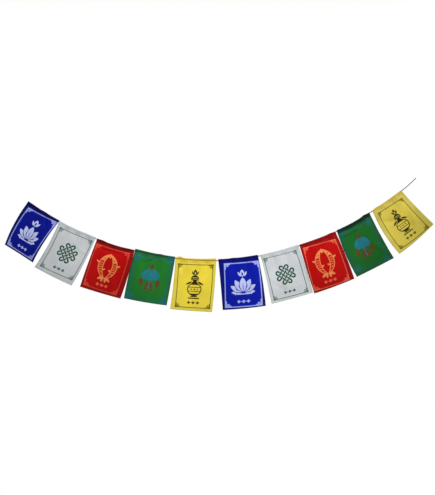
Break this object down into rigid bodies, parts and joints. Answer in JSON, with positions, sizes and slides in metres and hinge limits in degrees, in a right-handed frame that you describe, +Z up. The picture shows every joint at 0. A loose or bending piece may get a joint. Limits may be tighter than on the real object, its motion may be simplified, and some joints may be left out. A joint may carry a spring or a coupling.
{
  "type": "hanging string of printed cloth prayer flags",
  "caption": "String of small printed cloth flags in five colours, each hemmed over one thin string that sags between its two tied ends.",
  "frame": {"origin": "free right end of the string, where it is tied", "axes": "+X along the string to its right end as seen from the front, +Z up, printed faces look along -Y"},
  "size_m": [0.8554, 0.0266, 0.2671],
  "materials": {
    "blue_cloth": "thin polyester with a faint satin sheen, printed on the front",
    "white_cloth": "thin polyester with a faint satin sheen, printed on the front",
    "red_cloth": "thin polyester with a faint satin sheen, printed on the front",
    "green_cloth": "thin polyester with a faint satin sheen, printed on the front",
    "yellow_cloth": "thin polyester with a faint satin sheen, printed on the front",
    "string": "twisted cotton string, dark grey"
  },
  "bodies": {
    "root": {"flag_01_blue": "blue_cloth", "flag_02_white": "white_cloth", "flag_03_red": "red_cloth", "flag_04_green": "green_cloth", "flag_05_yellow": "yellow_cloth", "flag_06_blue": "blue_cloth", "flag_07_white": "white_cloth", "flag_08_red": "red_cloth", "flag_09_green": "green_cloth", "flag_10_yellow": "yellow_cloth", "string": "string"}
  },
  "joints": []
}
